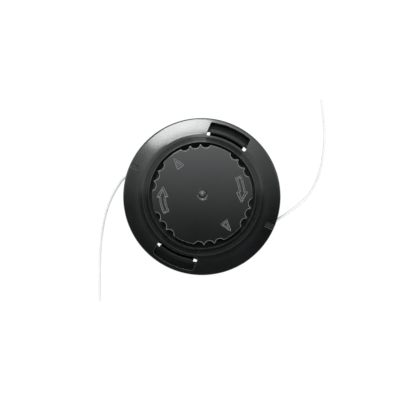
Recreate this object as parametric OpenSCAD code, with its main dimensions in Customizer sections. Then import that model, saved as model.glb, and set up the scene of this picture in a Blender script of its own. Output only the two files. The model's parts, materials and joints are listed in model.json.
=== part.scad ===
// Two-line bump-feed head for a grass trimmer. It lies with its ground side up:
// +Z runs along the drive axis from the drive boss towards the bump knob, z = 0 is the
// flat end of the boss, the line outlets lie on X and the two latches on Y.

/* [Head] */
// Outer radius of the cover, which is the widest piece
head_r = 65; // [60:0.5:72]
// How far the knob and spool are pushed in when the head is bumped
bump_travel = 6; // [4.5:0.5:7]
// Diameter of the nylon line
line_d = 2.4; // [2:0.1:2.7]

/* [Drive side] */
// Radius of the drive boss
boss_r = 17; // [15:0.5:20]
// Height of the drive boss beyond the roof of the housing
boss_h = 8; // [6:0.5:11]
// Thickness of the housing's roof
roof_t = 3; // [2.4:0.1:4]
// Room between the housing's skirt and the hanging edge of the cover
skirt_room = 2.7; // [2.2:0.1:3.2]
// Wall of the housing's skirt
skirt_t = 2.8; // [2:0.1:3.4]
// Outer rounding between roof and skirt
shoulder_r = 9; // [7:0.5:11]
// Number of ribs between boss and shoulder
rib_count = 8; // [4:1:12]
// Thickness of these ribs
rib_t = 2.4; // [1.6:0.1:3.2]
// Outer radius of the post that the spool turns on
post_r = 9.5; // [9:0.1:10.5]

/* [Drive nut] */
// Radius of the bore before its thread is cut
thread_r = 4.375; // [4.2:0.005:5]
// Outer radius of the nut's sleeve
nut_r = 7; // [6.2:0.1:7.6]
// Across the flats of the nut's hexagon
nut_flats = 20; // [17:0.5:22]
// Height of the hexagon
nut_hex_h = 5.5; // [4:0.5:5.5]
// Length of the nut and so of its thread
nut_l = 24; // [18:0.5:28]

/* [Cover] */
// Thickness of the flange at its outer edge
flange_t = 2.5; // [2:0.1:3.5]
// How much the flange rises from its edge to the foot of the raised wall
flange_rise = 1.2; // [0.6:0.1:2]
// How far the edge of the cover hangs below the flange
band_drop = 5; // [3:0.5:6]
// Wall of that hanging edge
band_t = 2.8; // [2:0.1:3]
// Height of the raised wall above its foot
hat_h = 14; // [12:0.5:17]
// How much the raised wall leans in between its foot and its rim
hat_lean = 4.7; // [3.6:0.1:5]
// Hollow rounding at the foot of the raised wall
hat_fillet = 6.6; // [4:0.1:7.5]
// Wall of the raised part
hat_t = 2; // [1.6:0.1:2.4]
// Width of the rim round the hole that the knob comes through
rim_w = 1; // [0.8:0.1:1.6]
// How far the rim stands above the ring that holds the spool in
rim_above_ring = 5; // [3:0.5:7]
// Thickness of that ring
ring_t = 2.2; // [1.6:0.1:3]
// How far that ring reaches in beyond the rim
ring_in = 1.1; // [0.8:0.1:1.6]
// Width of the groove that marks a line outlet on the flange
groove_w = 4; // [2:0.5:6]
// Depth of that groove
groove_depth = 1; // [0.5:0.1:1.5]

/* [Latches] */
// Width of a latch window
window_w = 35.6; // [33:0.1:38]
// Width of the flange between a latch window and the cover's edge
window_rim = 3.2; // [2.8:0.1:4.5]
// Rounding of a latch window's corners
window_corner = 1.4; // [0.6:0.1:2]
// Width of a latch tongue
tongue_w = 29.8; // [24:0.1:31]
// Thickness of a latch tongue
tongue_t = 1.7; // [1.3:0.1:1.9]
// How far the tongue's nose hooks over the cover
nose_out = 1.9; // [1.2:0.1:2.4]
// Room for the tongue in the inner part of a latch window
tongue_room = 3.9; // [3.6:0.1:4.4]
// Length of the thumb recess in the outer part of a latch window
recess_l = 7.5; // [6.5:0.1:8.5]
// Depth of the thumb recess at its outer edge
recess_depth = 6; // [4:0.1:6.5]
// Thickness of the recess floor and its side walls
recess_t = 1.6; // [1.2:0.1:2]

/* [Outlets] */
// Height of the line outlets above the floor of the spool's chamber
outlet_up = 4; // [3:0.5:5]
// Narrowest radius of an outlet bush
eyelet_bore_r = 2.9; // [2.7:0.1:3.1]
// Outer radius of the bush's neck
eyelet_neck_r = 5.4; // [5.1:0.1:5.8]
// Outer radius of the bush's flange
eyelet_flange_r = 6.6; // [6.2:0.1:6.8]
// Thickness of that flange
eyelet_flange_t = 1.3; // [0.8:0.1:1.6]
// Length of a bush
eyelet_l = 7; // [6.4:0.1:8]
// Rounding of its two mouths
eyelet_flare = 2; // [1.6:0.1:2.1]

/* [Spool] */
// Room round the spool's two flanges inside the cover's raised wall
spool_room = 0.4; // [0.3:0.1:1.2]
// Thickness of these flanges
spool_t = 2.5; // [2:0.1:3.2]
// Height of the chamber between them
chamber_h = 20; // [17:0.5:24]
// Room for the spring between the spool's hub and its core
spring_room = 4.85; // [4.6:0.05:6]
// Wall of the core
core_t = 2.5; // [2:0.1:2.7]
// Thickness of the web between core and hub, and of the crown under the knob
web_t = 3; // [2:0.1:4]
// Length of the bush in the hub
bush_l = 14; // [10:0.5:16]
// Wall of that bush
bush_t = 2; // [1.4:0.1:2.2]
// Wall of the hub around it
hub_t = 2.6; // [2.2:0.1:2.8]
// Number of ratchet teeth in a turn
tooth_count = 12; // [8:2:12]
// Height of the ratchet teeth
tooth_h = 3; // [2:0.1:3.5]
// Length of a ratchet tooth along the circle
tooth_l = 5.6; // [4:0.1:6.5]

/* [Knob] */
// Room round the knob in the ring that holds the spool in
knob_room = 0.8; // [0.5:0.1:2]
// How much wider the knob is at the bottom of its skirt
knob_draft = 0.6; // [0.2:0.1:1.2]
// How far the knob stands out of the cover
knob_proud = 7; // [6.5:0.5:9]
// Thickness of the knob's top
knob_t = 3; // [2.4:0.1:4]
// Wall of the knob's skirt
knob_wall = 2.2; // [1.6:0.1:3]
// Height of the knob's skirt
knob_skirt_h = 12.5; // [11:0.5:13]
// Rounding of the knob's upper edge
knob_edge = 0.6; // [0.4:0.1:1.5]
// Radius of a finger notch
notch_r = 4.1; // [3:0.1:4.5]
// Depth of the outer two notches in each group of three
notch_depth = 2.6; // [1.5:0.1:3]
// Angle between the notches of a group
notch_pitch = 12; // [10:0.5:14]
// Number of notch groups
notch_groups = 6; // [3:1:6]
// Turn of the knob in the photographed position
knob_turn = 62; // [0:0.1:180]
// Width of the engraved lines
mark_w = 0.8; // [0.4:0.05:1]
// Depth of the engraved lines
mark_depth = 0.5; // [0.2:0.1:0.8]

/* [Spring] */
// Wire of the bump spring
wire_d = 1.6; // [1.2:0.1:1.8]
// Number of turns
spring_turns = 6; // [5:0.5:7]
// Thickness of the thrust washer
washer_t = 1.5; // [1:0.1:2]
// Thickness of the spring's seat ring
seat_t = 1; // [0.6:0.1:1.5]

/* [Hidden] */
$fn = 96;

// Clearances, and the length by which cutting pieces overshoot
running_gap = 0.05;
seat_gap = 0.3;
easy_gap = 0.2;
tooth_gap = 0.5;
over = 1;
// How far a piece that is joined on reaches into the one that carries it
root = 0.5;

// Levels along the axis, from the boss towards the knob
roof_z = boss_h + roof_t;
low_tooth_z = roof_z + bump_travel + tooth_gap;
low_flange_z = low_tooth_z + tooth_h;
chamber_z = low_flange_z + spool_t;
high_flange_z = chamber_z + chamber_h;
tooth_foot_z = high_flange_z + spool_t;
ring_z = tooth_foot_z + tooth_h + seat_gap;
rim_z = ring_z + ring_t + rim_above_ring;
foot_z = rim_z - hat_h;
edge_z = foot_z - flange_rise;
flange_z = edge_z - flange_t;
band_z = flange_z - band_drop;
knob_z = rim_z + knob_proud;
knob_under_z = knob_z - knob_t;
knob_boss_h = 5;
crown_z = knob_under_z - knob_boss_h - web_t;
post_spare = 2;
post_z = crown_z - bump_travel - post_spare;
post_above_web = 6;
web_z = post_z - post_above_web;
bush_above_web = 2;
bush_z = web_z + web_t + bush_above_web - bush_l;
line_z = chamber_z + outlet_up;

// Radii from the cover's edge inwards
band_in_r = head_r - band_t;
skirt_r = band_in_r - skirt_room;
skirt_in_r = skirt_r - skirt_t;
window_out_r = head_r - window_rim;
ledge_r = window_out_r - recess_l;
tongue_r = ledge_r - easy_gap;
tongue_in_r = tongue_r - tongue_t;
window_in_r = ledge_r - tongue_room;
foot_room = 2.3;
hat_foot_r = window_in_r - foot_room;
hat_rim_r = hat_foot_r - hat_lean;
hole_r = hat_rim_r - rim_w;
ring_r = hole_r - ring_in;
knob_low_r = ring_r - knob_room;
knob_r = knob_low_r - knob_draft;
wall_slope = hat_lean / hat_h;

// Inner radius of the raised wall at a level
function wall_in_r(z) = hat_foot_r - (z - foot_z) * wall_slope - hat_t;

spool_r = wall_in_r(ring_z) - spool_room;
chamber_room = 1.6;
chamber_wall_r = spool_r + chamber_room;
chamber_wall_t = 2;
chamber_overlap = 1;
tooth_r = ring_r;
low_tooth_r = tooth_r - 2;
tooth_out_r = spool_r - 0.6;

// Radii from the axis outwards
line_r = line_d / 2;
bush_in_r = post_r + running_gap;
hub_in_r = bush_in_r + bush_t;
hub_r = hub_in_r + hub_t;
core_in_r = hub_r + spring_room;
core_r = core_in_r + core_t;
spring_r = (hub_r + core_in_r) / 2;
outlet_r = skirt_r + eyelet_flange_t - eyelet_l / 2;
layer_r = core_r + 3 * line_d + root;
top_layer_r = layer_r + line_d;
lead_r = top_layer_r + 2 * seat_gap;
lead_skew = asin(lead_r / outlet_r);

// Knob fixing: a stub round the spool's core and one screw from inside
screw_r = 1.9;
screw_head_r = 4.2;
screw_head_h = 1.9;
knob_stub_t = 2.6;
knob_boss_r = 5;
key_w = 4;
knob_low_z = knob_z - knob_skirt_h;

arc_steps = 6;

// The arc that rounds the corner b between a and c
function corner_arc(a, b, c, r) =
    r == 0
        ? [b]
        : let (
            u = (a - b) / norm(a - b),
            v = (c - b) / norm(c - b),
            half = acos(u * v) / 2,
            start = b + u * r / tan(half),
            stop = b + v * r / tan(half),
            middle = b + (u + v) / norm(u + v) * r / sin(half),
            first = atan2(start[1] - middle[1], start[0] - middle[0]),
            last = atan2(stop[1] - middle[1], stop[0] - middle[0]),
            sweep = (last - first + 540) % 360 - 180
        )
        [
            for (i = [0:arc_steps])
                let (angle = first + sweep * i / arc_steps)
                middle + r * [cos(angle), sin(angle)]
        ];

// An outline of [x, y, rounding] points with each corner rounded
function rounded(points) = [
    for (i = [0:len(points) - 1])
        let (
            count = len(points),
            a = points[(i + count - 1) % count],
            b = points[i],
            c = points[(i + 1) % count]
        )
        each corner_arc([a[0], a[1]], [b[0], b[1]], [c[0], c[1]], b[2])
];

// A band between two radii, cut to a width by sides parallel to Y
function band_outline(in_r, out_r, width, corner) =
    let (steps = 10)
    rounded([
        for (i = [0:steps])
            let (x = width / 2 - width * i / steps)
            [x, sqrt(out_r * out_r - x * x), i == 0 || i == steps ? corner : 0],
        for (i = [0:steps])
            let (x = -width / 2 + width * i / steps)
            [x, sqrt(in_r * in_r - x * x), i == 0 || i == steps ? corner : 0]
    ]);

module tube(out_r, in_r, low, high) {
    rotate_extrude()
        translate([in_r, low])
            square([out_r - in_r, high - low]);
}

// Twice, on opposite sides of the axis
module on_both_sides() {
    for (turn = [0, 180])
        rotate([0, 0, turn])
            children();
}

// Saw teeth on a circle, with the steep face on the counter-clockwise side at angle face;
// rise is positive for teeth that stand up from low and negative for teeth that hang from it
tooth_top_share = 0.35;
tooth_end_share = 0.3;

module saw_teeth(in_r, out_r, low, rise, face, steep) {
    for (i = [0:tooth_count - 1])
        rotate([0, 0, face + i * 360 / tooth_count])
            translate([in_r, 0, low])
                rotate([90, 0, 90])
                    linear_extrude(out_r - in_r)
                        polygon([
                            [0, 0],
                            [0, rise],
                            [steep * tooth_l * tooth_top_share, rise],
                            [steep * tooth_l, tooth_end_share * rise],
                            [steep * tooth_l, 0]
                        ]);
}

// A tube of the line's diameter along a list of points, with a chosen first direction
line_sides = 8;

function direction_at(path, i, first) =
    i == 0
        ? first
        : let (
            ahead = path[min(i + 1, len(path) - 1)] - path[i],
            behind = path[i] - path[i - 1],
            sum = norm(ahead) == 0 ? behind / norm(behind) : ahead / norm(ahead) + behind / norm(behind)
        )
        sum / norm(sum);

function ring_points(centre, direction, r, sides) =
    let (
        across = cross(direction, [0, 0, 1]),
        side = across / norm(across),
        up = cross(side, direction)
    )
    [
        for (i = [0:sides - 1])
            centre + r * (cos(360 * i / sides) * side + sin(360 * i / sides) * up)
    ];

module swept_tube(path, first, r, sides) {
    count = len(path);
    points = [
        for (i = [0:count - 1])
            each ring_points(path[i], direction_at(path, i, first), r, sides)
    ];
    faces = [
        [for (i = [0:sides - 1]) i],
        for (i = [0:count - 2], j = [0:sides - 1])
            [
                i * sides + j,
                (i + 1) * sides + j,
                (i + 1) * sides + (j + 1) % sides,
                i * sides + (j + 1) % sides
            ],
        [for (i = [sides - 1:-1:0]) (count - 1) * sides + i]
    ];
    polyhedron(points, faces);
}

// Housing: roof, skirt, post, boss, ribs, low chamber wall, ratchet teeth and latch tongues

housing_profile = [
    [nut_r, 0, 0],
    [boss_r, 0, 1],
    [boss_r, boss_h, 0],
    [skirt_r, boss_h, shoulder_r],
    [skirt_r, flange_z, 0.5],
    [skirt_in_r, flange_z, 0.5],
    [skirt_in_r, roof_z, shoulder_r - roof_t],
    [post_r, roof_z, 0],
    [post_r, post_z, 0.8],
    [nut_r, post_z, 0]
];

// The recess floor slopes down from recess_in_z at the ledge to recess_out_z at the window's edge
recess_step = 2;
recess_in_z = foot_z - recess_step;
recess_out_z = edge_z - recess_depth;
notch_z = recess_out_z - recess_t - easy_gap;

// The tongue's nose: how high its tip and its ridge stand above the recess floor, and how far
// the ridge lies inside the tongue's outer face
nose_tip_h = 0.6;
nose_ridge_h = 2.4;
nose_back_h = 1.9;
nose_ridge_in = 0.7;
nose_round = 0.3;

tongue_profile = [
    [tongue_in_r, roof_z - roof_t + root, 0],
    [tongue_r, roof_z - roof_t + root, 0],
    [tongue_r, recess_in_z + easy_gap, 0],
    [ledge_r + nose_out - easy_gap, recess_in_z + easy_gap, 0],
    [ledge_r + nose_out, recess_in_z + nose_tip_h, 0],
    [tongue_r - nose_ridge_in, recess_in_z + nose_ridge_h, nose_round],
    [tongue_in_r, recess_in_z + nose_back_h, nose_round]
];

eyelet_block_w = 18;
eyelet_block_foot = 2;
eyelet_block_top = 0.1;
eyelet_block_low = line_z - eyelet_flange_r - eyelet_block_foot;
eyelet_block_high = line_z + eyelet_flange_r + eyelet_block_top;

// Height of a rib at the boss and at the shoulder, as shares of the boss height
rib_low_share = 0.2;
rib_high_share = 0.85;

module tongue() {
    intersection() {
        rotate_extrude()
            polygon(rounded(tongue_profile));
        translate([-tongue_w / 2, 0, 0])
            cube([tongue_w, head_r, rim_z]);
    }
}

module drive_rib() {
    rotate([90, 0, 0])
        translate([0, 0, -rib_t / 2])
            linear_extrude(rib_t)
                polygon([
                    [boss_r - over, rib_low_share * boss_h],
                    [skirt_r - shoulder_r, rib_high_share * boss_h],
                    [skirt_r - shoulder_r, boss_h + root],
                    [boss_r - over, boss_h + root]
                ]);
}

module eyelet_block() {
    translate([outlet_r - eyelet_l / 2, -eyelet_block_w / 2, eyelet_block_low])
        cube([
            skirt_r - outlet_r + eyelet_l / 2,
            eyelet_block_w,
            eyelet_block_high - eyelet_block_low
        ]);
}

module nut_body() {
    cylinder(r = nut_r, h = nut_l);
    translate([0, 0, (boss_h - nut_hex_h) / 2])
        cylinder(r = nut_flats / 2 / cos(30), h = nut_hex_h, $fn = 6);
}

// The slots that free a tongue's sides: they go through the roof and on through the shoulder
slot_spare = 0.8;

module tongue_slots() {
    slot_w = (window_w - tongue_w) / 2 + slot_spare;
    for (side = [-1, 1])
        translate([side * (tongue_w + slot_w) / 2 - slot_w / 2, window_in_r, -over])
            cube([slot_w, head_r - window_in_r, boss_h + shoulder_r + over]);
}

module recess_notches() {
    on_both_sides()
        translate([0, 0, notch_z])
            linear_extrude(head_r)
                polygon(band_outline(
                    ledge_r, head_r, window_w + 2 * recess_t + 2 * easy_gap, 0
                ));
}

module eyelet_holes() {
    on_both_sides()
        translate([outlet_r, 0, line_z])
            rotate([0, 90, 0])
                cylinder(r = eyelet_neck_r, h = 2 * eyelet_l, center = true);
}

module upper_housing() {
    color("#202325")
        union() {
            difference() {
                union() {
                    rotate_extrude()
                        polygon(rounded(housing_profile));
                    tube(
                        chamber_wall_r + chamber_wall_t, chamber_wall_r,
                        roof_z - over, low_flange_z + chamber_overlap
                    );
                    saw_teeth(
                        low_tooth_r, tooth_out_r, roof_z - root, tooth_h + root, tooth_spare_a, 1
                    );
                    for (i = [0:rib_count - 1])
                        rotate([0, 0, (i + 0.5) * 360 / rib_count])
                            drive_rib();
                    on_both_sides()
                        eyelet_block();
                }
                nut_body();
                on_both_sides()
                    tongue_slots();
                recess_notches();
                eyelet_holes();
            }
            on_both_sides()
                tongue();
        }
}

module drive_nut() {
    color("#b4b6b8")
        difference() {
            nut_body();
            translate([0, 0, -over])
                cylinder(r = thread_r, h = nut_l + 2 * over);
        }
}

// Outlet bush: a turned eyelet with a flange outside and both mouths rounded

module eyelet_at(turn) {
    half = eyelet_l / 2;
    rotate([0, 0, turn])
        translate([outlet_r, 0, line_z])
            rotate([0, 90, 0])
                rotate_extrude()
                    polygon(rounded([
                        [eyelet_bore_r, -half, eyelet_flare - 0.05],
                        [eyelet_neck_r, -half, 0.3],
                        [eyelet_neck_r, half - eyelet_flange_t, 0],
                        [eyelet_flange_r, half - eyelet_flange_t, 0.2],
                        [eyelet_flange_r, half, 0.5],
                        [eyelet_bore_r, half, eyelet_flare - 0.05]
                    ]));
}

module eyelet_left() {
    color("#c9cbcc")
        eyelet_at(180);
}

module eyelet_right() {
    color("#c9cbcc")
        eyelet_at(0);
}

// Cover: hanging edge, flange, raised wall with its rim, ring, windows and thumb recesses

inner_foot_z = foot_z + 1.8;
hollow_round = 2;

cover_profile = [
    [head_r, band_z, 0.6],
    [head_r, edge_z, 1.6],
    [hat_foot_r, foot_z, hat_fillet],
    [hat_rim_r, rim_z, 0.5],
    [hole_r, rim_z, 0.3],
    [hole_r, ring_z + ring_t, 0],
    [ring_r, ring_z + ring_t, 0],
    [ring_r, ring_z, 0],
    [wall_in_r(ring_z), ring_z, 0],
    [wall_in_r(inner_foot_z), inner_foot_z, hollow_round],
    [hat_foot_r + hat_t, flange_z, hollow_round],
    [band_in_r, flange_z, 0.3],
    [band_in_r, band_z, 0.6]
];

recess_width = window_w + 2 * recess_t;

module recess_section(low_in, low_out, high) {
    slope = (low_out - low_in) / (window_out_r - ledge_r);
    rotate_extrude()
        polygon([
            [ledge_r - over, low_in - over * slope],
            [head_r, low_in + slope * (head_r - ledge_r)],
            [head_r, high],
            [ledge_r - over, high]
        ]);
}

module thumb_recess() {
    difference() {
        intersection() {
            translate([0, 0, notch_z - 2 * over])
                linear_extrude(flange_z + root - notch_z + 2 * over)
                    polygon(band_outline(ledge_r, band_in_r + root, recess_width, 0));
            recess_section(recess_in_z - recess_t, recess_out_z - recess_t, rim_z);
        }
        intersection() {
            translate([0, 0, band_z])
                linear_extrude(head_r)
                    polygon(band_outline(ledge_r - over, window_out_r, window_w, 0));
            recess_section(recess_in_z, recess_out_z, rim_z);
        }
    }
}

module window_cut() {
    translate([0, 0, band_z])
        linear_extrude(rim_z)
            polygon(band_outline(window_in_r, window_out_r, window_w, window_corner));
}

groove_l = 7;
groove_end = 0.6;

module outlet_groove() {
    translate([head_r - groove_end - groove_l, -groove_w / 2, edge_z + groove_end / 2 - groove_depth])
        cube([groove_l, groove_w, rim_z]);
}

// The low ring under the flange that centres the cover in the housing's skirt
locating_t = 1.6;
locating_h = 2.5;
locating_spare = 2;

module locating_ring() {
    locating_r = skirt_in_r - easy_gap;
    difference() {
        tube(locating_r, locating_r - locating_t, flange_z - locating_h, flange_z + root);
        on_both_sides()
            translate([-recess_width / 2 - locating_spare, 0, band_z])
                cube([recess_width + 2 * locating_spare, head_r, rim_z]);
    }
}

module lower_cover() {
    color("#26292b")
        union() {
            difference() {
                union() {
                    rotate_extrude()
                        polygon(rounded(cover_profile));
                    locating_ring();
                }
                on_both_sides()
                    window_cut();
                on_both_sides()
                    outlet_groove();
            }
            on_both_sides()
                thumb_recess();
            saw_teeth(
                tooth_r, wall_in_r(ring_z - tooth_h) + hat_t / 3,
                ring_z + root, -tooth_reach - root, tooth_lock_a, 1
            );
        }
}

// Ratchet: the steep faces of cover and spool meet when the line pulls

tooth_reach = tooth_h + seat_gap - tooth_gap;
tooth_lock_a = 0.6;
tooth_spare_a = 180 / tooth_count + tooth_lock_a;

// Spring parts: both rings lie between the hub and the core
ring_out_r = core_in_r - 2 * easy_gap;
ring_in_r = hub_r + seat_gap;

module spring_seat() {
    color("#9a9c9e")
        tube(ring_out_r, ring_in_r, roof_z, roof_z + seat_t);
}

module thrust_washer() {
    color("#a6a8aa")
        tube(ring_out_r, ring_in_r, web_z - washer_t, web_z);
}

spring_steps = 16;
spring_gap = 0.1;
// Turns at each end that lie nearly flat, and how much the wire rises in them
flat_turns = 0.75;
flat_rise = wire_d + 0.15;

// Height of the wire's middle above its start, after a number of turns
function spring_rise(turns, height) =
    turns < flat_turns
        ? flat_rise * turns / flat_turns
        : turns > spring_turns - flat_turns
            ? height - flat_rise * (spring_turns - turns) / flat_turns
            : flat_rise + (height - 2 * flat_rise) * (turns - flat_turns)
                / (spring_turns - 2 * flat_turns);

module bump_spring() {
    low = roof_z + seat_t + wire_d / 2 + spring_gap;
    high = web_z - washer_t - wire_d / 2 - spring_gap;
    path = [
        for (i = [0:spring_turns * spring_steps])
            let (turns = i / spring_steps, angle = 360 * turns)
            [spring_r * cos(angle), spring_r * sin(angle), low + spring_rise(turns, high - low)]
    ];
    color("#8d9092")
        swept_tube(path, [0, 1, 0], wire_d / 2, 8);
}

// Spool, its bush and the line wound on it

spool_profile = [
    [core_in_r, low_flange_z],
    [spool_r, low_flange_z],
    [spool_r, chamber_z],
    [core_r, chamber_z],
    [core_r, high_flange_z],
    [spool_r, high_flange_z],
    [spool_r, tooth_foot_z],
    [core_r, tooth_foot_z],
    [core_r, crown_z + web_t],
    [screw_r + easy_gap, crown_z + web_t],
    [screw_r + easy_gap, crown_z],
    [core_in_r, crown_z],
    [core_in_r, web_z + web_t],
    [hub_r, web_z + web_t],
    [hub_r, bush_z + bush_l],
    [hub_in_r, bush_z + bush_l],
    [hub_in_r, bush_z],
    [hub_r, bush_z],
    [hub_r, web_z],
    [core_in_r, web_z]
];

module spool() {
    color("#e08a1e")
        union() {
            rotate_extrude()
                polygon(spool_profile);
            saw_teeth(tooth_r, tooth_out_r, tooth_foot_z - root, tooth_h + root, 0, -1);
            saw_teeth(low_tooth_r, tooth_out_r, low_flange_z + root, -tooth_h - root, 0, -1);
            rotate([0, 0, knob_turn])
                on_both_sides()
                    translate([core_r - over, -key_w / 2, high_flange_z + over])
                        cube([
                            over + knob_stub_t / 2,
                            key_w,
                            crown_z + web_t - high_flange_z - over
                        ]);
        }
}

module spool_bush() {
    color("#c8a26a")
        tube(hub_in_r, bush_in_r, bush_z, bush_z + bush_l);
}

// A ridge for each turn of the outermost layer, and a started layer on top of three of them
top_turns = 3;
ridge_overlap = 0.05;

module line_ridges(r, first_z, turns) {
    for (i = [0:turns - 1])
        translate([r, first_z + i * line_d])
            circle(r = line_r + ridge_overlap, $fn = 24);
}

module wound_line() {
    turns = floor((chamber_h - line_d) / line_d);
    first_z = chamber_z + (chamber_h - (turns - 1) * line_d) / 2;
    top_z = first_z + (turns - top_turns) * line_d;
    color("#dfe3df")
        rotate_extrude()
            union() {
                translate([core_r + running_gap, first_z - line_r])
                    square([layer_r - core_r - running_gap, turns * line_d]);
                line_ridges(layer_r, first_z, turns);
                translate([layer_r - root, top_z - line_r])
                    square([line_d + root, top_turns * line_d]);
                line_ridges(top_layer_r, top_z, top_turns);
            }
}

// Knob: top with engraved marks, notched skirt, inner stub on the spool's core, ribs

// The middle notch of a group is a little deeper
middle_extra = 0.3;

module at_notches() {
    for (group = [0:notch_groups - 1], place = [-1:1])
        rotate([0, 0, group * 360 / notch_groups + place * notch_pitch])
            translate([knob_r + notch_r - notch_depth - (place == 0 ? middle_extra : 0), 0, 0])
                children();
}

module knob_outside() {
    rotate_extrude()
        polygon(rounded([
            [0, knob_low_z, 0],
            [knob_low_r, knob_low_z, 0.4],
            [knob_r, knob_z, knob_edge],
            [0, knob_z, 0]
        ]));
}

// The marks lie on a circle; half widths of the arrow's shaft and head, and the angles of its
// start, its neck and its tip
mark_r = knob_r - 8.2;
arrow_half = 2.15;
arrow_head_half = 4.25;
arrow_start_a = 19;
arrow_neck_a = -4;
arrow_tip_a = -18;
// How much faster than a straight side a slanted one and a tip draw in
arrow_side_ratio = 2.1;
arrow_tip_ratio = 2.4;

function mark_angle(length) = length / mark_r * 180 / PI;

// A block arrow bent round the axis, pointing clockwise, shrunk by inset
module arrow_outline(inset) {
    half = arrow_half - inset;
    head_half = arrow_head_half - arrow_side_ratio * inset;
    start = arrow_start_a - mark_angle(inset);
    neck = arrow_neck_a + mark_angle(inset);
    tip = arrow_tip_a + mark_angle(arrow_tip_ratio * inset);
    steps = 6;
    polygon([
        for (i = [0:steps])
            let (angle = start + (neck - start) * i / steps)
            (mark_r + half) * [cos(angle), sin(angle)],
        (mark_r + head_half) * [cos(neck), sin(neck)],
        mark_r * [cos(tip), sin(tip)],
        (mark_r - head_half) * [cos(neck), sin(neck)],
        for (i = [0:steps])
            let (angle = neck + (start - neck) * i / steps)
            (mark_r - half) * [cos(angle), sin(angle)]
    ]);
}

// Half width of a triangle and how far it reaches in and out from the circle of the marks
triangle_half = 2.9;
triangle_in = 3.85;
triangle_out = 4.95;
triangle_side_ratio = 1.35;
triangle_tip_ratio = 3.2;

// A narrow triangle that points outwards, shrunk by inset
module triangle_outline(inset) {
    half = triangle_half - triangle_side_ratio * inset;
    polygon([
        [mark_r - triangle_in + inset, half],
        [mark_r - triangle_in + inset, -half],
        [mark_r + triangle_out - triangle_tip_ratio * inset, 0]
    ]);
}

arrow_turn = 149;

module knob_marks() {
    translate([0, 0, knob_z - mark_depth])
        linear_extrude(2 * mark_depth) {
            rotate([0, 0, arrow_turn])
                on_both_sides()
                    difference() {
                        arrow_outline(0);
                        arrow_outline(mark_w);
                    }
            rotate([0, 0, 90])
                on_both_sides()
                    difference() {
                        triangle_outline(0);
                        triangle_outline(mark_w);
                    }
        }
}

// The dimple in the middle with the stub of the moulding gate
dimple_r = 4.3;
dimple_floor_r = 3.2;
dimple_depth = 0.6;
gate_r = 0.8;
gate_foot_r = 1.3;

module gate_dimple() {
    translate([0, 0, knob_z])
        rotate_extrude()
            polygon([
                [gate_foot_r, -0.8 * dimple_depth],
                [dimple_floor_r, -dimple_depth],
                [dimple_r, 0],
                [dimple_r, over],
                [0, over],
                [0, -0.1 * dimple_depth],
                [gate_r, -0.1 * dimple_depth]
            ]);
}

// Ribs under the knob's top, between the stub and the skirt
knob_rib_w = 2;
knob_rib_h = 6;
knob_rib_end = 1.5;

module knob() {
    stub_in_r = core_r + easy_gap / 2;
    color("#1f2224")
        rotate([0, 0, knob_turn])
            difference() {
                knob_outside();
                difference() {
                    translate([0, 0, knob_low_z - over])
                        cylinder(r = knob_r - knob_wall, h = knob_under_z - knob_low_z + over);
                    translate([0, 0, knob_low_z - 2 * over])
                        at_notches()
                            cylinder(r = notch_r + knob_wall, h = knob_skirt_h + over);
                    tube(stub_in_r + knob_stub_t, stub_in_r, knob_low_z - 2 * over, knob_z - over);
                    translate([0, 0, crown_z + web_t])
                        cylinder(r = knob_boss_r, h = knob_boss_h + over);
                    for (i = [0:notch_groups - 1])
                        rotate([0, 0, (i + 0.5) * 360 / notch_groups])
                            translate([
                                core_r + knob_rib_end, -knob_rib_w / 2, knob_under_z - knob_rib_h
                            ])
                                cube([
                                    knob_r - core_r - 2 * knob_rib_end,
                                    knob_rib_w,
                                    knob_rib_h + over
                                ]);
                }
                translate([0, 0, knob_low_z - over])
                    at_notches()
                        cylinder(r = notch_r, h = knob_skirt_h + 2 * over);
                on_both_sides()
                    translate([core_r - over, -(key_w + easy_gap) / 2, knob_low_z - over])
                        cube([
                            over + knob_stub_t / 2 + easy_gap,
                            key_w + easy_gap,
                            crown_z + web_t + easy_gap - knob_low_z + over
                        ]);
                translate([0, 0, crown_z])
                    cylinder(r = screw_r + running_gap, h = web_t + knob_boss_h + root);
                knob_marks();
                gate_dimple();
            }
}

socket_r = 2;
socket_depth = 1.2;

module knob_screw() {
    color("#b9bbbd")
        difference() {
            union() {
                translate([0, 0, crown_z - screw_head_h])
                    cylinder(r = screw_head_r, h = screw_head_h);
                translate([0, 0, crown_z - root])
                    cylinder(r = screw_r, h = web_t + knob_boss_h + root);
            }
            translate([0, 0, crown_z - screw_head_h - over])
                cylinder(r = socket_r, h = socket_depth + over, $fn = 6);
        }
}

// Line: the straight leads inside the head and the free ends outside it

lead_length = sqrt(outlet_r * outlet_r - lead_r * lead_r);
mouth_extra = eyelet_l / 2 / cos(lead_skew);

function lead_start(turn) =
    let (angle = turn - acos(lead_r / outlet_r))
    [lead_r * cos(angle), lead_r * sin(angle), line_z];

function lead_heading(turn) = [cos(turn + lead_skew), sin(turn + lead_skew), 0];

function lead_end(turn) =
    lead_start(turn) + lead_heading(turn) * (lead_length + mouth_extra);

module line_lead(turn) {
    color("#e6eae6")
        swept_tube([lead_start(turn), lead_end(turn)], lead_heading(turn), line_r, line_sides);
}

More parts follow.
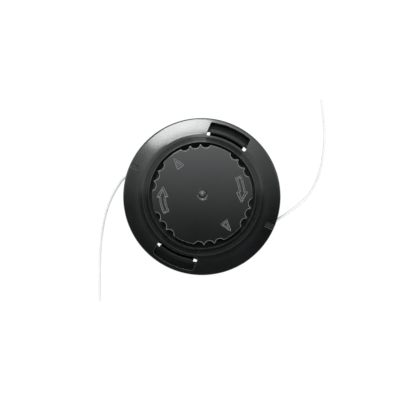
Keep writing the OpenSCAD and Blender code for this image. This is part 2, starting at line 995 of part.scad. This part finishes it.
// The free line on the left: it leaves the head level, sinks and then lies on the surface.
// Each point is a step in x and y from where the line leaves its bush, and a height
free_left = [
    [-1.9, -2.1, 26.9],
    [-3.6, -5.4, 26.4],
    [-6.6, -10.9, 24.6],
    [-8.1, -15.9, 21.1],
    [-9.3, -20.8, 17.1],
    [-10.2, -25.8, 13.1],
    [-10.8, -30.9, 9.2],
    [-10.9, -36.5, 5.9],
    [-10.6, -42.5, 3.5],
    [-9.6, -48.7, 2.1],
    [-8.2, -55, 1.5],
    [-6.5, -61.3, 1.3],
    [-4.6, -67.4, 1.3],
    [-2.4, -73.5, 1.3],
    [0, -79.5, 1.3],
    [2.5, -85.5, 1.3],
    [5.1, -91.4, 1.3],
    [7.7, -97.3, 1.3],
    [10.4, -103.2, 1.3],
    [13.1, -109.1, 1.3],
    [15.8, -115, 1.3]
];

// The free line on the right
free_right = [
    [2.2, 2.1, 26.9],
    [4.6, 5.4, 26.5],
    [8.5, 10.7, 24.7],
    [11.8, 15.8, 21.3],
    [14.9, 20.8, 17.5],
    [17.9, 25.8, 13.6],
    [20.5, 31, 9.7],
    [22.9, 36.5, 6.2],
    [24.6, 42.7, 3.5],
    [25.4, 49.5, 2],
    [25.4, 56.4, 1.5],
    [24.7, 63.4, 1.3],
    [23.4, 70.3, 1.3],
    [21.6, 77, 1.3],
    [19.5, 83.7, 1.3],
    [17, 90.2, 1.3],
    [14.2, 96.6, 1.3],
    [11.2, 102.9, 1.3],
    [7.8, 109, 1.3],
    [4.3, 115.1, 1.3],
    [0.8, 121.1, 1.3]
];

module free_line(turn, route) {
    mouth = lead_end(turn);
    path = [mouth, for (step = route) [mouth[0] + step[0], mouth[1] + step[1], step[2]]];
    color("#e9ede9")
        swept_tube(path, lead_heading(turn), line_r, line_sides);
}

module line_lead_left() {
    line_lead(180);
}

module line_lead_right() {
    line_lead(0);
}

module free_line_left() {
    free_line(180, free_left);
}

module free_line_right() {
    free_line(0, free_right);
}

upper_housing();
drive_nut();
eyelet_left();
eyelet_right();
lower_cover();
spring_seat();
bump_spring();
thrust_washer();
spool();
spool_bush();
wound_line();
knob();
knob_screw();
line_lead_left();
line_lead_right();
free_line_left();
free_line_right();
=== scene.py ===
"""Looks of a two-line bump-feed trimmer head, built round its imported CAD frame."""

import json
import math

import bpy
from mathutils import Matrix, Vector


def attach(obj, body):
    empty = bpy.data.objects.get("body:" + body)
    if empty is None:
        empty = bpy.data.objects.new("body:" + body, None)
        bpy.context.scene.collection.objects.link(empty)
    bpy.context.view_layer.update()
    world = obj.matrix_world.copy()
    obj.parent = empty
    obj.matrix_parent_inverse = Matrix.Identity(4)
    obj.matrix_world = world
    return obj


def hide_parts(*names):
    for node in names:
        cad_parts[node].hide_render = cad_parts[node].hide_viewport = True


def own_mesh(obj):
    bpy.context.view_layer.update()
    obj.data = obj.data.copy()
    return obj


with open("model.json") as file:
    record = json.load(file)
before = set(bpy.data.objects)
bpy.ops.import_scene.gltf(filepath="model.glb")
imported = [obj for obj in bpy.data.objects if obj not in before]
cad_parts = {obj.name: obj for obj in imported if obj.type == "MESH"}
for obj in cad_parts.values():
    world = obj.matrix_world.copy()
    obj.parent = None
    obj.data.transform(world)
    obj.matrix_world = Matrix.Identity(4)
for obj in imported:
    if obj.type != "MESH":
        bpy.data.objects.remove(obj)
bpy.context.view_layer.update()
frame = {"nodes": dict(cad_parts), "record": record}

MM = 0.001
NODES = frame["nodes"]


def slot_colour(name):
    """The base colour that the record gives a material slot."""
    found = [m for m in frame["record"]["materials"] if m["slot"] == name][0]
    return tuple(found["base_color"][:3])


# The photograph's frame: where the head's middle lies in it and how it is turned

PHOTO_SIZE = 400
HEAD_CENTRE_PX = (201.94, 196.17)
MM_PER_PX = 0.825
PHOTO_TURN = math.radians(23.9)
VIEW_HEIGHT = 600 * MM
RIM_HEIGHT = 39 * MM
LEAN_LEFT = 0.011
LEAN_DOWN = 0.057

PHOTO_RIGHT = Vector((math.cos(PHOTO_TURN), math.sin(PHOTO_TURN), 0))
PHOTO_UP = Vector((-math.sin(PHOTO_TURN), math.cos(PHOTO_TURN), 0))


def photo_direction(angle, off_zenith):
    """A direction given by its angle in the photograph and its angle from straight up."""
    a = math.radians(angle)
    z = math.radians(off_zenith)
    flat = PHOTO_RIGHT * math.cos(a) + PHOTO_UP * math.sin(a)
    return flat * math.sin(z) + Vector((0, 0, math.cos(z)))


def look_at(obj, target, up=Vector((0, 1, 0))):
    """Turns an object so that its -Z points at target and its +Y lies near up."""
    back = (obj.location - target).normalized()
    right = up.cross(back).normalized()
    true_up = back.cross(right)
    turn = Matrix((right, true_up, back)).transposed()
    obj.rotation_mode = "QUATERNION"
    obj.rotation_quaternion = turn.to_quaternion()


def make_camera():
    data = bpy.data.cameras.new("camera")
    camera = bpy.data.objects.new("camera", data)
    bpy.context.scene.collection.objects.link(camera)
    half_width = PHOTO_SIZE / 2 * MM_PER_PX * MM
    data.sensor_width = 36
    data.lens = data.sensor_width / 2 * VIEW_HEIGHT / half_width
    head = Vector((0, 0, RIM_HEIGHT))
    across = (PHOTO_SIZE / 2 - HEAD_CENTRE_PX[0]) * MM_PER_PX * MM
    upward = (HEAD_CENTRE_PX[1] - PHOTO_SIZE / 2) * MM_PER_PX * MM
    target = head + PHOTO_RIGHT * across + PHOTO_UP * upward
    camera.location = (
        head - PHOTO_RIGHT * LEAN_LEFT * VIEW_HEIGHT - PHOTO_UP * LEAN_DOWN * VIEW_HEIGHT
        + Vector((0, 0, VIEW_HEIGHT))
    )
    look_at(camera, target, PHOTO_UP)
    bpy.context.scene.camera = camera


make_camera()


# Nylon line, in millimetres. A route's point is a step in x and y from where the line leaves
# its bush, and a height above the surface

LINE_D = 2.4
CUT_ROUND = 0.25
CAP_STEPS = 4
LEAD_SPANS = 12
ROUTE_SPANS = 6
LINE_Z = 27.0
OUTLET_R = 57.3
LEAD_R = 32.2
EYELET_L = 7.0

FREE_LEFT = [
    (-1.9, -2.1, 26.9), (-3.6, -5.4, 26.4), (-6.6, -10.9, 24.6), (-8.1, -15.9, 21.1),
    (-9.3, -20.8, 17.1), (-10.2, -25.8, 13.1), (-10.8, -30.9, 9.2), (-10.9, -36.5, 5.9),
    (-10.6, -42.5, 3.5), (-9.6, -48.7, 2.1), (-8.2, -55, 1.5), (-6.5, -61.3, 1.3),
    (-4.6, -67.4, 1.3), (-2.4, -73.5, 1.3), (0, -79.5, 1.3), (2.5, -85.5, 1.3),
    (5.1, -91.4, 1.3), (7.7, -97.3, 1.3), (10.4, -103.2, 1.3), (13.1, -109.1, 1.3),
    (15.8, -115, 1.3),
]
FREE_RIGHT = [
    (2.2, 2.1, 26.9), (4.6, 5.4, 26.5), (8.5, 10.7, 24.7), (11.8, 15.8, 21.3),
    (14.9, 20.8, 17.5), (17.9, 25.8, 13.6), (20.5, 31, 9.7), (22.9, 36.5, 6.2),
    (24.6, 42.7, 3.5), (25.4, 49.5, 2), (25.4, 56.4, 1.5), (24.7, 63.4, 1.3),
    (23.4, 70.3, 1.3), (21.6, 77, 1.3), (19.5, 83.7, 1.3), (17, 90.2, 1.3),
    (14.2, 96.6, 1.3), (11.2, 102.9, 1.3), (7.8, 109, 1.3), (4.3, 115.1, 1.3),
    (0.8, 121.1, 1.3),
]


def lead_points(turn):
    """Where the line leaves the winding and where it leaves the outlet bush, in millimetres."""
    skew = math.asin(LEAD_R / OUTLET_R)
    angle = turn - math.acos(LEAD_R / OUTLET_R)
    start = Vector((LEAD_R * math.cos(angle), LEAD_R * math.sin(angle), LINE_Z))
    heading = Vector((math.cos(turn + skew), math.sin(turn + skew), 0))
    inside = math.sqrt(OUTLET_R ** 2 - LEAD_R ** 2)
    return start, start + heading * (inside + EYELET_L / 2 / math.cos(skew)), heading


def smooth_path(points, per_span):
    """Points along a Catmull-Rom curve through the given ones."""
    p = [Vector(q) for q in points]
    p = [2 * p[0] - p[1]] + p + [2 * p[-1] - p[-2]]
    path = []
    for i in range(1, len(p) - 2):
        for k in range(per_span):
            t = k / per_span
            path.append(0.5 * (
                2 * p[i] + (p[i + 1] - p[i - 1]) * t
                + (2 * p[i - 1] - 5 * p[i] + 4 * p[i + 1] - p[i + 2]) * t ** 2
                + (3 * p[i] - p[i - 1] - 3 * p[i + 1] + p[i + 2]) * t ** 3
            ))
    return path + [p[-2]]


def sweep(name, path, radius, sides=20, cap_round=0.0, first=None):
    """A closed tube mesh along a path. cap_round rounds its far end, first sets its start."""
    count = len(path)
    rings = []
    for i, centre in enumerate(path):
        ahead = path[min(i + 1, count - 1)] - path[max(i - 1, 0)]
        if i == 0 and first is not None:
            ahead = first
        direction = ahead.normalized()
        side = direction.cross(Vector((0, 0, 1))).normalized()
        rings.append((centre, direction, side, side.cross(direction), radius))
    if cap_round:
        end, direction, side, up, _ = rings[-1]
        for k in range(1, CAP_STEPS + 1):
            a = math.pi / 2 * k / CAP_STEPS
            shift = direction * cap_round * math.sin(a)
            shrunk = radius - cap_round * (1 - math.cos(a))
            rings.append((end + shift, direction, side, up, shrunk))
    vertices = []
    for centre, _, side, up, r in rings:
        for j in range(sides):
            a = 2 * math.pi * j / sides
            vertices.append(centre + (side * math.cos(a) + up * math.sin(a)) * r)
    faces = [list(range(sides))[::-1]]
    for i in range(len(rings) - 1):
        for j in range(sides):
            k = (j + 1) % sides
            faces.append([i * sides + j, i * sides + k, (i + 1) * sides + k, (i + 1) * sides + j])
    faces.append([(len(rings) - 1) * sides + j for j in range(sides)])
    mesh = bpy.data.meshes.new(name)
    mesh.from_pydata([v * MM for v in vertices], [], faces)
    mesh.validate()
    mesh.polygons.foreach_set("use_smooth", [len(f) == 4 for f in faces])
    mesh.update()
    obj = bpy.data.objects.new(name, mesh)
    bpy.context.scene.collection.objects.link(obj)
    return obj


def make_line(side, turn, route):
    """The lead inside the head and the free line outside it."""
    start, mouth, heading = lead_points(turn)
    inside = [start + (mouth - start) * i / LEAD_SPANS for i in range(LEAD_SPANS + 1)]
    lead = sweep(f"line_lead_{side}_look", inside, LINE_D / 2, first=heading)
    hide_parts(f"line_lead_{side}")
    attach(lead, "housing")
    steps = [(mouth.x + x, mouth.y + y, z) for x, y, z in route]
    path = smooth_path([tuple(mouth)] + steps, ROUTE_SPANS)
    free = sweep(f"free_line_{side}_look", path, LINE_D / 2, cap_round=CUT_ROUND, first=heading)
    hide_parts(f"free_line_{side}")
    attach(free, "housing")
    return [lead, free]


LINES = make_line("left", math.pi, FREE_LEFT) + make_line("right", 0, FREE_RIGHT)


# Bump spring, in millimetres: between its seat and the washer, with ends that lie nearly flat

SPRING_R = 16.575
WIRE_D = 1.6
SPRING_TURNS = 6
SPRING_LOW = 12.9
SPRING_HIGH = 35.6
FLAT_TURNS = 0.75
FLAT_RISE = 1.75
STEPS_PER_TURN = 28


def spring_height(turns):
    """Height of the wire's middle after a number of turns."""
    if turns < FLAT_TURNS:
        return SPRING_LOW + FLAT_RISE * turns / FLAT_TURNS
    if turns > SPRING_TURNS - FLAT_TURNS:
        return SPRING_HIGH - FLAT_RISE * (SPRING_TURNS - turns) / FLAT_TURNS
    share = (turns - FLAT_TURNS) / (SPRING_TURNS - 2 * FLAT_TURNS)
    return SPRING_LOW + FLAT_RISE + (SPRING_HIGH - SPRING_LOW - 2 * FLAT_RISE) * share


def make_spring():
    """The coil spring, swept at one length though the real one shortens as the knob is pressed."""
    path = []
    for i in range(SPRING_TURNS * STEPS_PER_TURN + 1):
        turns = i / STEPS_PER_TURN
        a = 2 * math.pi * turns
        path.append(Vector((SPRING_R * math.cos(a), SPRING_R * math.sin(a), spring_height(turns))))
    spring = sweep("bump_spring_look", path, WIRE_D / 2, sides=14, first=Vector((0, 1, 0)))
    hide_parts("bump_spring")
    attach(spring, "housing")
    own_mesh(spring)
    return spring


SPRING = make_spring()


# Materials

PLASTIC_IOR = 1.54
NYLON_IOR = 1.53


class Shader:
    """A material's node tree with short calls for adding and joining nodes."""

    def __init__(self, name):
        self.material = bpy.data.materials.new(name)
        self.material.use_nodes = True
        self.tree = self.material.node_tree
        self.bsdf = self.tree.nodes["Principled BSDF"]
        self.coords = self.tree.nodes.new("ShaderNodeTexCoord")

    def node(self, kind, **inputs):
        made = self.tree.nodes.new(kind)
        for name, value in inputs.items():
            socket = made.inputs[name.replace("_", " ")]
            if isinstance(value, bpy.types.NodeSocket):
                self.tree.links.new(value, socket)
            else:
                socket.default_value = value
        return made

    def join(self, output, target):
        self.tree.links.new(output, target)

    def noise(self, scale, detail=3.0, roughness=0.5, stretch=None):
        vector = self.coords.outputs["Object"]
        if stretch:
            mapping = self.node("ShaderNodeMapping", Vector=vector)
            mapping.inputs["Scale"].default_value = stretch
            vector = mapping.outputs["Vector"]
        made = self.node(
            "ShaderNodeTexNoise", Vector=vector, Scale=scale, Detail=detail, Roughness=roughness
        )
        return made.outputs["Fac"]

    def ramp(self, source, low, high, to_low, to_high):
        made = self.node(
            "ShaderNodeMapRange", Value=source, From_Min=low, From_Max=high,
            To_Min=to_low, To_Max=to_high,
        )
        return made.outputs["Result"]

    def mix_colour(self, factor, a, b):
        made = self.tree.nodes.new("ShaderNodeMix")
        made.data_type = "RGBA"
        self.join(factor, made.inputs["Factor"])
        for socket, value in ((made.inputs["A"], a), (made.inputs["B"], b)):
            if isinstance(value, bpy.types.NodeSocket):
                self.join(value, socket)
            else:
                socket.default_value = (*value, 1)
        return made.outputs["Result"]

    def math(self, operation, a, b):
        made = self.tree.nodes.new("ShaderNodeMath")
        made.operation = operation
        for socket, value in zip(made.inputs, (a, b)):
            if isinstance(value, bpy.types.NodeSocket):
                self.join(value, socket)
            else:
                socket.default_value = value
        return made.outputs["Value"]

    def rounded(self, radius):
        """The surface's normal with its edges rounded by a radius."""
        bevel = self.tree.nodes.new("ShaderNodeBevel")
        bevel.samples = 6
        bevel.inputs["Radius"].default_value = radius
        return bevel.outputs["Normal"]

    def edges(self, normal):
        """1 on edges and 0 elsewhere, from how far a rounded normal turns from the true one."""
        geometry = self.tree.nodes.new("ShaderNodeNewGeometry")
        dot = self.tree.nodes.new("ShaderNodeVectorMath")
        dot.operation = "DOT_PRODUCT"
        self.join(normal, dot.inputs[0])
        self.join(geometry.outputs["Normal"], dot.inputs[1])
        return self.ramp(dot.outputs["Value"], 0.88, 0.99, 1, 0)

    def openness(self, reach, closed, wide_open):
        """1 in the open and nearly 0 in hollows, judged within a reach."""
        hollows = self.tree.nodes.new("ShaderNodeAmbientOcclusion")
        hollows.samples = 8
        hollows.inputs["Distance"].default_value = reach
        return self.ramp(hollows.outputs["AO"], closed, wide_open, 0.05, 1)

    def bump(self, height, strength, distance, normal=None):
        made = self.node("ShaderNodeBump", Height=height, Strength=strength, Distance=distance)
        if normal:
            self.join(normal, made.inputs["Normal"])
        self.join(made.outputs["Normal"], self.bsdf.inputs["Normal"])


def tinted(colour, factor):
    return tuple(min(c * factor, 1) for c in colour)


def moulded_plastic(name, slot, rough, grain, edge, coat=0.0, grooves=None, painted_edge_highlight=0.0):
    """Moulded plastic: flow clouds, fine grain, hairline scuffs, dull hollows and a painted
    highlight on open edges.
    """
    s = Shader(name)
    colour = slot_colour(slot)
    clouds = s.noise(35, 4, 0.55)
    fine = s.noise(900, 2, 0.6)
    scratches = s.noise(160, 6, 0.7, stretch=(1, 14, 1))
    shade = s.mix_colour(clouds, tinted(colour, 0.35), tinted(colour, 0.7))
    normal = s.rounded(edge)
    worn = s.ramp(scratches, 0.58, 0.75, 0, 0.12)
    gloss = s.math("ADD", s.ramp(clouds, 0.3, 0.7, *rough), worn)
    s.bsdf.inputs["IOR"].default_value = PLASTIC_IOR
    if coat:
        s.bsdf.inputs["Coat Weight"].default_value = 1
        s.bsdf.inputs["Coat IOR"].default_value = PLASTIC_IOR
        s.bsdf.inputs["Coat Roughness"].default_value = coat
    if grooves:
        open_air = s.openness(*grooves)
        s.join(open_air, s.bsdf.inputs["Coat Weight"])
        gloss = s.math("ADD", gloss, s.ramp(open_air, 0, 1, 0.5, 0))
        # Painted highlight: edges in the open get a pale base colour that stands in for the light
        # that rounded edges catch.
        light = (painted_edge_highlight, painted_edge_highlight * 1.05, painted_edge_highlight * 1.05)
        shade = s.mix_colour(s.math("MULTIPLY", s.edges(normal), open_air), shade, light)
    s.join(shade, s.bsdf.inputs["Base Color"])
    s.join(gloss, s.bsdf.inputs["Roughness"])
    height = s.math("ADD", s.math("MULTIPLY", fine, grain), s.math("MULTIPLY", clouds, 0.6))
    s.bump(height, 0.1, 0.0004, normal)
    return s.material


def nylon_line():
    """Pale translucent nylon monofilament with faint drawing marks along it."""
    s = Shader("nylon line")
    colour = slot_colour("nylon_line")
    clouds = s.noise(60, 3)
    s.join(
        s.mix_colour(clouds, tinted(colour, 1.08), tinted(colour, 1.16)),
        s.bsdf.inputs["Base Color"],
    )
    s.join(s.ramp(clouds, 0.3, 0.7, 0.35, 0.5), s.bsdf.inputs["Roughness"])
    s.bsdf.inputs["Transmission Weight"].default_value = 0.12
    s.bsdf.inputs["Specular IOR Level"].default_value = 0.3
    s.bsdf.inputs["IOR"].default_value = NYLON_IOR
    s.bump(s.noise(500, 2), 0.04, 0.0001)
    return s.material


def turned_metal(name, slot, rough_low, rough_high, stretch):
    """Machined or drawn metal with fine tool marks."""
    s = Shader(name)
    colour = slot_colour(slot)
    marks = s.noise(400, 3, 0.6, stretch=stretch)
    clouds = s.noise(60, 3)
    s.join(
        s.mix_colour(clouds, tinted(colour, 0.85), tinted(colour, 1.1)),
        s.bsdf.inputs["Base Color"],
    )
    s.join(s.ramp(marks, 0.3, 0.7, rough_low, rough_high), s.bsdf.inputs["Roughness"])
    s.bsdf.inputs["Metallic"].default_value = 1
    s.bump(marks, 0.15, 0.0002)
    return s.material


# The cover and the knob carry a painted highlight on their open edges; the last argument sets how
# pale it is.
MATERIALS = {
    "cover_plastic": moulded_plastic(
        "cover plastic", "cover_plastic", (0.1, 0.2), 0.4, 0.0004, coat=0.08,
        grooves=(0.012, 0.72, 0.95), painted_edge_highlight=0.2,
    ),
    "knob_plastic": moulded_plastic(
        "knob plastic", "knob_plastic", (0.07, 0.14), 0.15, 0.0009, coat=0.04,
        grooves=(0.0012, 0.5, 0.9), painted_edge_highlight=0.42,
    ),
    "housing_plastic": moulded_plastic(
        "housing plastic", "housing_plastic", (0.3, 0.42), 1.0, 0.0004
    ),
    "spool_plastic": moulded_plastic("spool plastic", "spool_plastic", (0.34, 0.46), 1.0, 0.0003),
    "nylon_line": nylon_line(),
    "nut_steel": turned_metal("nut steel", "nut_steel", 0.25, 0.42, (1, 1, 8)),
    "washer_steel": turned_metal("washer steel", "washer_steel", 0.22, 0.4, (1, 1, 1)),
    "spring_steel": turned_metal("spring steel", "spring_steel", 0.25, 0.4, (1, 1, 1)),
    "eyelet_metal": turned_metal("eyelet metal", "eyelet_metal", 0.14, 0.28, (6, 1, 1)),
    "bush_brass": turned_metal("bush brass", "bush_brass", 0.2, 0.36, (1, 1, 6)),
}

SMOOTH_ANGLE = math.radians(30)


def dress(obj, slot):
    obj.data.materials.clear()
    obj.data.materials.append(MATERIALS[slot])


def dress_cad_nodes():
    for part in frame["record"]["subparts"]:
        obj = NODES[part["node"]]
        dress(obj, part["material_slot"])
        obj.data.polygons.foreach_set("use_smooth", [True] * len(obj.data.polygons))
        obj.data.set_sharp_from_angle(angle=SMOOTH_ANGLE)


dress_cad_nodes()
for line in LINES:
    dress(line, "nylon_line")
dress(SPRING, "spring_steel")


# Studio: white floor and background, one soft light from the photograph's top.
# Each room gradient is (from cosine, to cosine, strength there, strength here)

ROOM_UPWARD = (-0.02, 0.26, 0.04, 2.1)
ROOM_SIDEWAYS = (0.05, 0.22, 1.0, 0.35)
ROOM_HORIZON = (0.02, 0.3, 0.35, 0.0)

SOFTBOX_ANGLE = 104
SOFTBOX_OFF_ZENITH = 25
SOFTBOX_DISTANCE = 1.2
SOFTBOX_SIZE = (0.3, 0.36)
SOFTBOX_POWER = 2.6

FLOOR_HALF = 4.0
FLOOR_DROP = 0.02
FLOOR_SEEN = 1.05
FLOOR_REFLECTED = 0.1
FLOOR_GLOW = 0.9


def make_floor():
    half = FLOOR_HALF
    mesh = bpy.data.meshes.new("floor")
    mesh.from_pydata(
        [(-half, -half, 0), (half, -half, 0), (half, half, 0), (-half, half, 0)],
        [], [(0, 1, 2, 3)],
    )
    floor = bpy.data.objects.new("floor", mesh)
    floor.location.z = -FLOOR_DROP * MM
    bpy.context.scene.collection.objects.link(floor)
    s = Shader("floor")
    s.bsdf.inputs["Base Color"].default_value = (0.82, 0.82, 0.82, 1)
    s.bsdf.inputs["Roughness"].default_value = 0.9
    path = s.tree.nodes.new("ShaderNodeLightPath")
    glossy = path.outputs["Is Glossy Ray"]
    direct = s.math("MAXIMUM", path.outputs["Is Camera Ray"], path.outputs["Is Transmission Ray"])
    glow = s.node("ShaderNodeEmission", Color=(1, 1, 1, 1))
    s.join(s.ramp(glossy, 0, 1, FLOOR_SEEN, FLOOR_REFLECTED), glow.inputs["Strength"])
    seen = s.math("MAXIMUM", direct, glossy)
    mix = s.tree.nodes.new("ShaderNodeMixShader")
    s.join(s.math("MULTIPLY", seen, FLOOR_GLOW), mix.inputs["Fac"])
    s.join(s.bsdf.outputs["BSDF"], mix.inputs[1])
    s.join(glow.outputs["Emission"], mix.inputs[2])
    s.join(mix.outputs["Shader"], s.tree.nodes["Material Output"].inputs["Surface"])
    mesh.materials.append(s.material)


def make_world():
    """White, but in reflections a room that is brightest towards the photograph's top."""
    world = bpy.data.worlds.new("studio")
    bpy.context.scene.world = world
    world.use_nodes = True
    tree = world.node_tree
    tree.nodes.clear()
    new = tree.nodes.new
    link = tree.links.new
    coords = new("ShaderNodeTexCoord")

    def combined(operation, a, b):
        made = new("ShaderNodeMath")
        made.operation = operation
        link(a, made.inputs[0])
        link(b, made.inputs[1])
        return made.outputs["Value"]

    def graded(direction, both_ways, low, high, dark, bright):
        dot = new("ShaderNodeVectorMath")
        dot.operation = "DOT_PRODUCT"
        link(coords.outputs["Generated"], dot.inputs[0])
        dot.inputs[1].default_value = direction
        value = dot.outputs["Value"]
        if both_ways:
            size = new("ShaderNodeMath")
            size.operation = "ABSOLUTE"
            link(value, size.inputs[0])
            value = size.outputs["Value"]
        ramp = new("ShaderNodeMapRange")
        ramp.interpolation_type = "SMOOTHSTEP"
        link(value, ramp.inputs["Value"])
        ramp.inputs["From Min"].default_value = low
        ramp.inputs["From Max"].default_value = high
        ramp.inputs["To Min"].default_value = dark
        ramp.inputs["To Max"].default_value = bright
        return ramp.outputs["Result"]

    ceiling = combined(
        "MULTIPLY", graded(PHOTO_UP, False, *ROOM_UPWARD), graded(PHOTO_RIGHT, True, *ROOM_SIDEWAYS)
    )
    strength = combined("ADD", ceiling, graded((0, 0, 1), True, *ROOM_HORIZON))
    room = new("ShaderNodeBackground")
    room.inputs["Color"].default_value = (0.93, 1, 0.98, 1)
    link(strength, room.inputs["Strength"])
    white = new("ShaderNodeBackground")
    white.inputs["Color"].default_value = (1, 1, 1, 1)
    path = new("ShaderNodeLightPath")
    mix = new("ShaderNodeMixShader")
    link(path.outputs["Is Glossy Ray"], mix.inputs["Fac"])
    link(white.outputs["Background"], mix.inputs[1])
    link(room.outputs["Background"], mix.inputs[2])
    out = new("ShaderNodeOutputWorld")
    link(mix.outputs["Shader"], out.inputs["Surface"])


def make_softbox():
    data = bpy.data.lights.new("softbox", "AREA")
    data.shape = "RECTANGLE"
    data.size, data.size_y = SOFTBOX_SIZE
    data.energy = SOFTBOX_POWER
    light = bpy.data.objects.new("softbox", data)
    bpy.context.scene.collection.objects.link(light)
    light.location = photo_direction(SOFTBOX_ANGLE, SOFTBOX_OFF_ZENITH) * SOFTBOX_DISTANCE
    look_at(light, Vector((0, 0, RIM_HEIGHT)), Vector((0, 0, 1)))


make_floor()
make_world()
make_softbox()
bpy.context.scene.view_settings.view_transform = "Standard"
